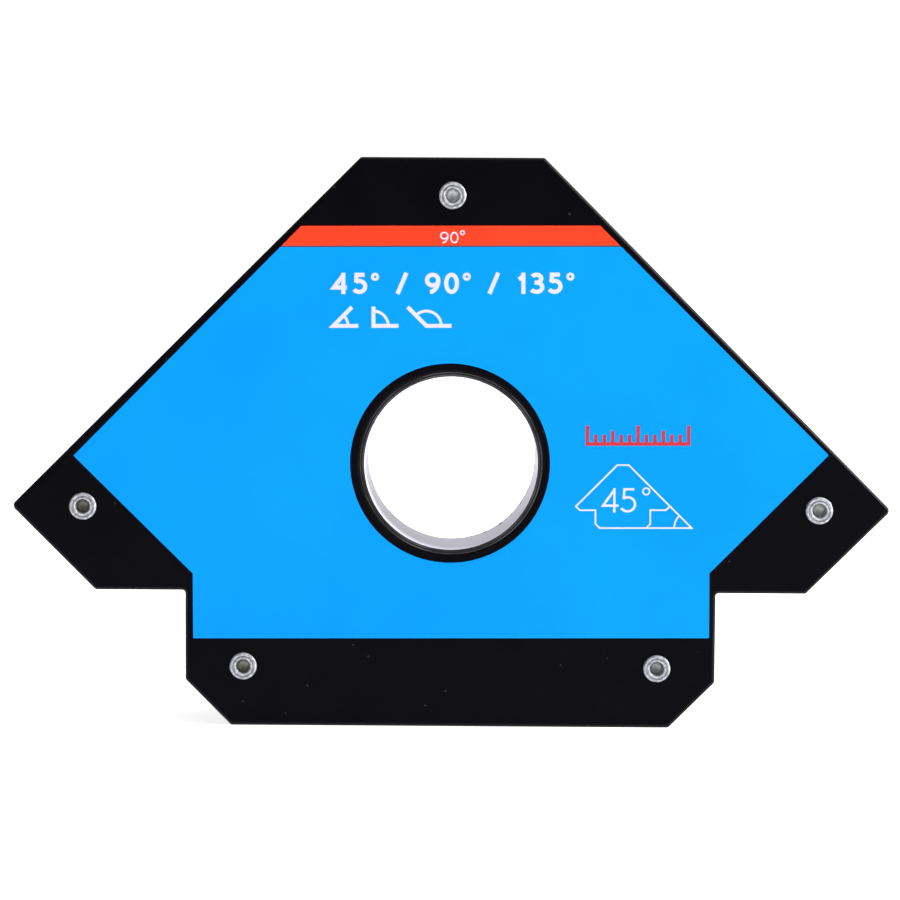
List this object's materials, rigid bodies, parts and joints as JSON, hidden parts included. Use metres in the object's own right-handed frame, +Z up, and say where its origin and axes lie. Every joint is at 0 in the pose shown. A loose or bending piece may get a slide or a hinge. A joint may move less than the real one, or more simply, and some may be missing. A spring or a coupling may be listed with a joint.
{
  "type": "welding magnet holder",
  "caption": "Arrow-shaped welding magnet: black steel pole plates with blue labels, riveted over ferrite blocks, with a lined round hole and edges that hold steel at 45, 90 or 135 degrees.",
  "frame": {"origin": "bottom centre of the bounding box: the middle of the foot's face, on the plane midway between the two plates", "axes": "+Z up from the foot to the blunt top, +X along the width from the left arm tip to the right, and the labelled front faces -Y"},
  "size_m": [0.1904, 0.0256, 0.1238],
  "materials": {
    "black_powder_coat": "satin black powder coat over steel plate",
    "label_vinyl": "blue printed vinyl with a red band and white figures, semi-gloss",
    "sleeve_aluminium": "plain satin aluminium tube",
    "rivet_zinc": "bright zinc plate",
    "tube_steel": "plain cut steel tube",
    "ferrite": "ground dark grey hard ferrite",
    "black_nylon": "moulded black nylon"
  },
  "bodies": {
    "root": {"front_plate": "black_powder_coat", "rear_plate": "black_powder_coat", "front_label": "label_vinyl", "rear_label": "label_vinyl", "hole_sleeve": "sleeve_aluminium", "top_rivet": "rivet_zinc", "left_arm_rivet": "rivet_zinc", "right_arm_rivet": "rivet_zinc", "left_foot_rivet": "rivet_zinc", "right_foot_rivet": "rivet_zinc", "top_spacer_tube": "tube_steel", "left_arm_spacer_tube": "tube_steel", "right_arm_spacer_tube": "tube_steel", "left_foot_spacer_tube": "tube_steel", "right_foot_spacer_tube": "tube_steel", "top_magnet": "ferrite", "left_flank_magnet": "ferrite", "right_flank_magnet": "ferrite", "left_arm_magnet": "ferrite", "right_arm_magnet": "ferrite", "left_foot_magnet": "ferrite", "right_foot_magnet": "ferrite", "top_spacer": "black_nylon", "left_arm_spacer": "black_nylon", "right_arm_spacer": "black_nylon", "left_foot_spacer": "black_nylon", "right_foot_spacer": "black_nylon", "left_flank_strip": "black_nylon", "right_flank_strip": "black_nylon", "left_step_strip": "black_nylon", "right_step_strip": "black_nylon", "foot_strip": "black_nylon"}
  },
  "joints": []
}
